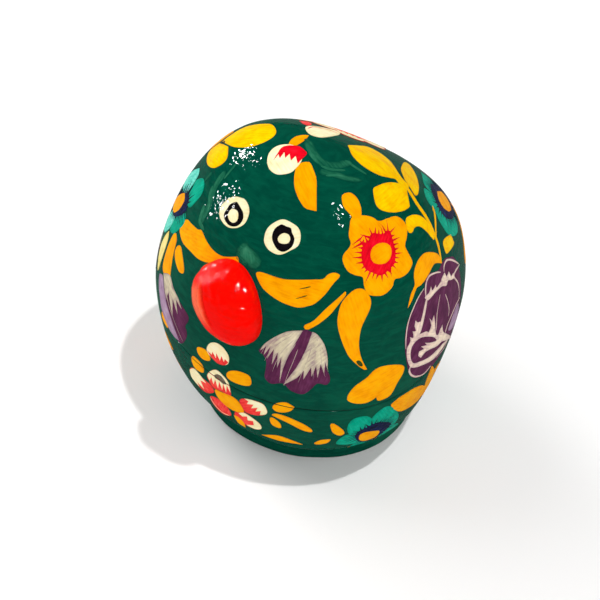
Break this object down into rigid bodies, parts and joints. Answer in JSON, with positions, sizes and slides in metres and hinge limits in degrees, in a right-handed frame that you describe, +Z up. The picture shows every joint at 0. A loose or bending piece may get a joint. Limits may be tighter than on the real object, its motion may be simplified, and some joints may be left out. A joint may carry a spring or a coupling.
{
  "type": "papier mache box",
  "caption": "Round lidded papier mache box in the form of a beaked head: a domed lift-off lid over a shallow bowl with an inner collar and a foot.",
  "frame": {"origin": "middle of the foot's flat underside, on the surface that the box stands on", "axes": "+Z up, the way the lid lifts; -Y towards the beaked face; +X to the viewer's right of the face"},
  "size_m": [0.0735, 0.0828, 0.077],
  "materials": {
    "green_lacquer": "glossy lacquer over painted paper pulp",
    "dark_inside": "satin dark paint over card strip",
    "red_lacquer": "glossy lacquer over painted paper pulp"
  },
  "bodies": {
    "base": {"base_bowl": "green_lacquer", "inner_collar": "dark_inside", "foot": "green_lacquer"},
    "lid": {"lid_shell": "green_lacquer", "beak": "red_lacquer"}
  },
  "joints": [
    {"name": "lid_lift", "type": "slide", "parent": "base", "child": "lid", "axis": [0, 0, 1], "range_m": [0, 0.08]}
  ]
}
